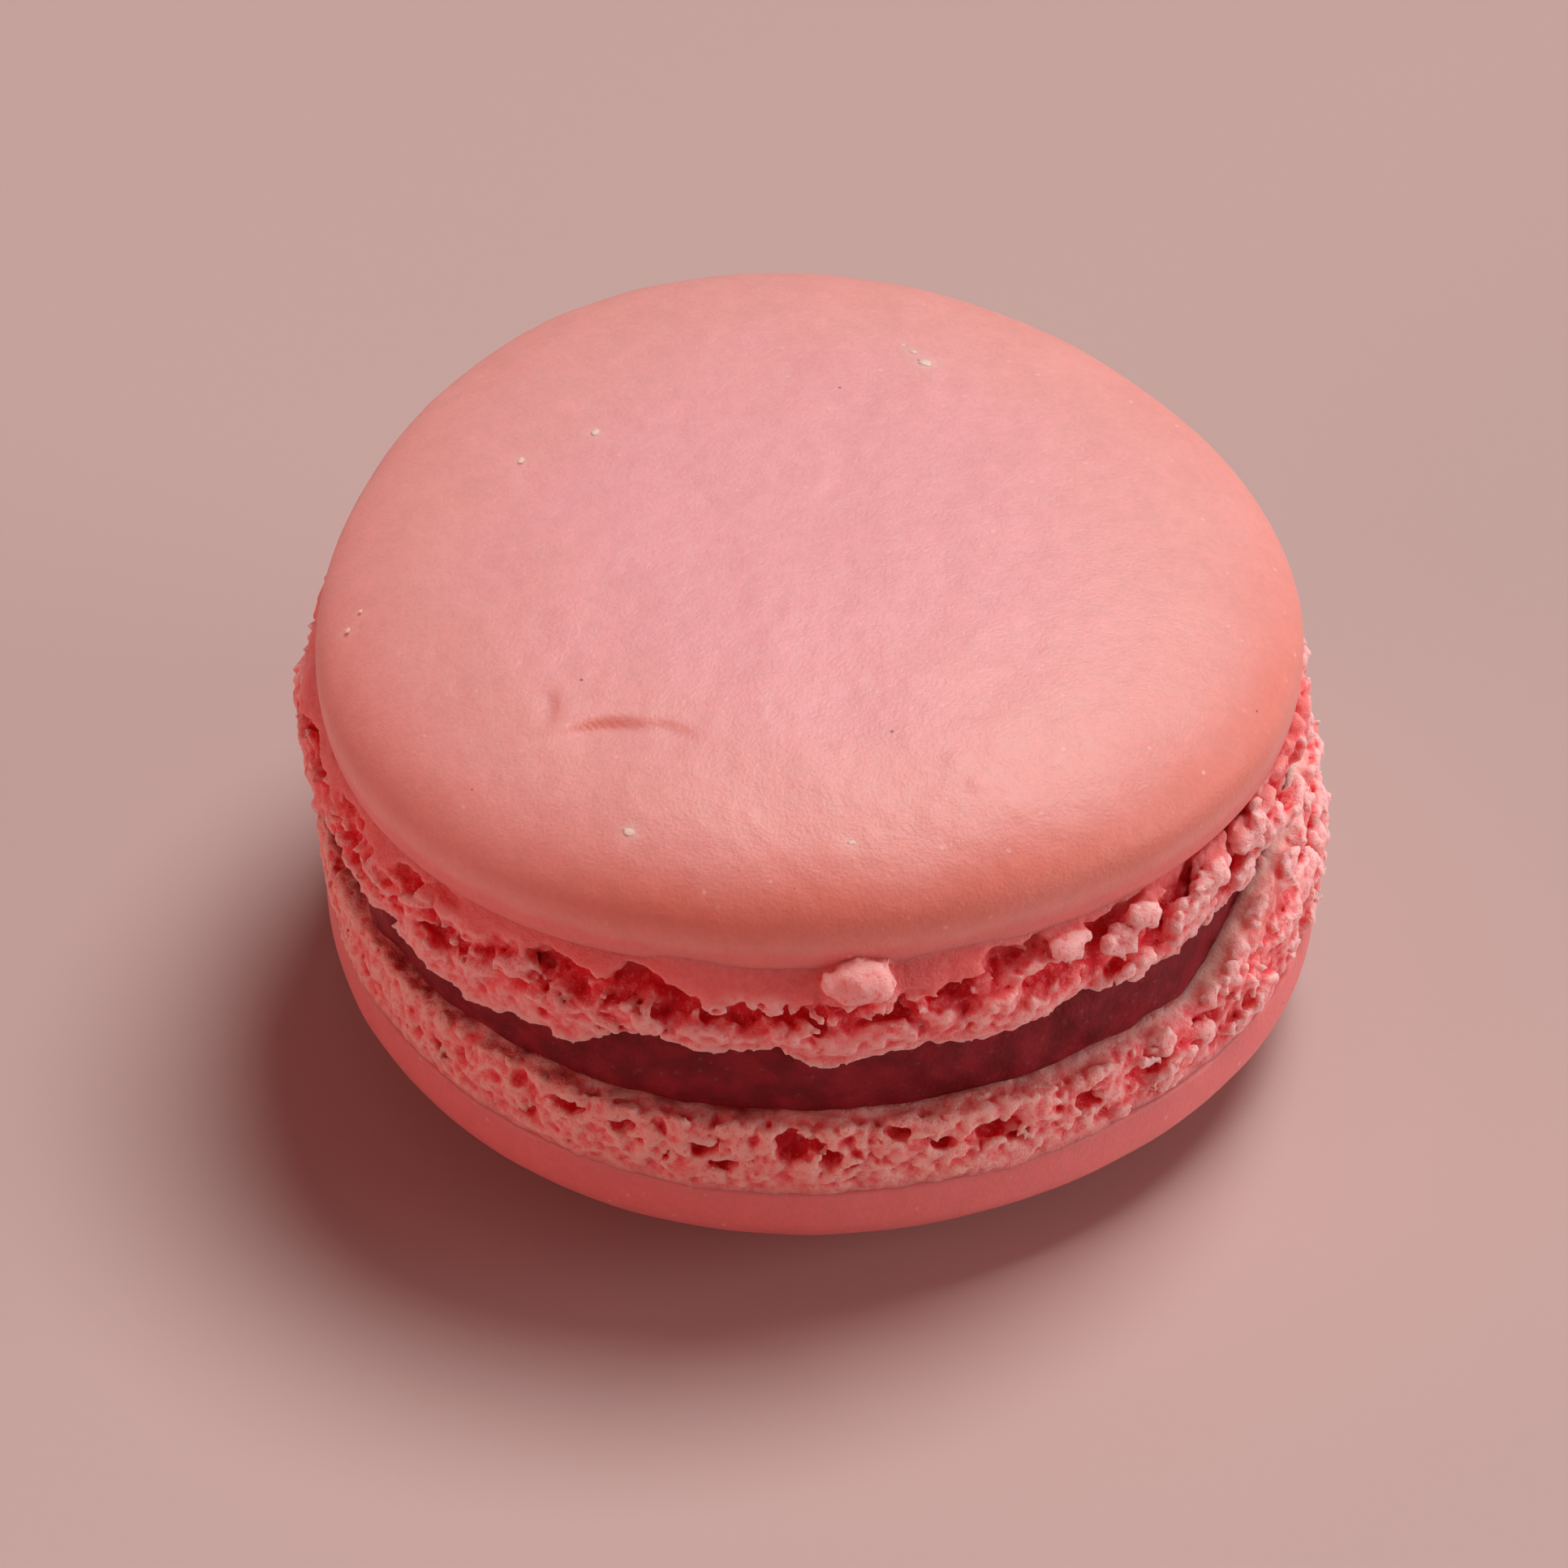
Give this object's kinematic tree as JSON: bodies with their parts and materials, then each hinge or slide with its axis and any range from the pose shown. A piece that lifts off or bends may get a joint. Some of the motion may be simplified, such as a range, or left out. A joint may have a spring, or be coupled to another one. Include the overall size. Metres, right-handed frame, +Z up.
{
  "type": "french macaron",
  "caption": "Round pink almond macaron: two smooth domed shells with ruffled feet around a dark fruit filling.",
  "frame": {"origin": "middle of the macaron on the surface it rests on", "axes": "+Z up through the crown, -Y towards the side with the dented crown and the pale lobe of the foot"},
  "size_m": [0.0451, 0.0451, 0.026],
  "materials": {
    "lower_shell": "matte baked almond meringue, porous at the foot",
    "filling": "dark fruit jam, slightly glossy",
    "upper_shell": "matte baked almond meringue with a smooth skin"
  },
  "bodies": {
    "root": {"lower_shell": "lower_shell", "filling": "filling", "upper_shell": "upper_shell"}
  },
  "joints": []
}
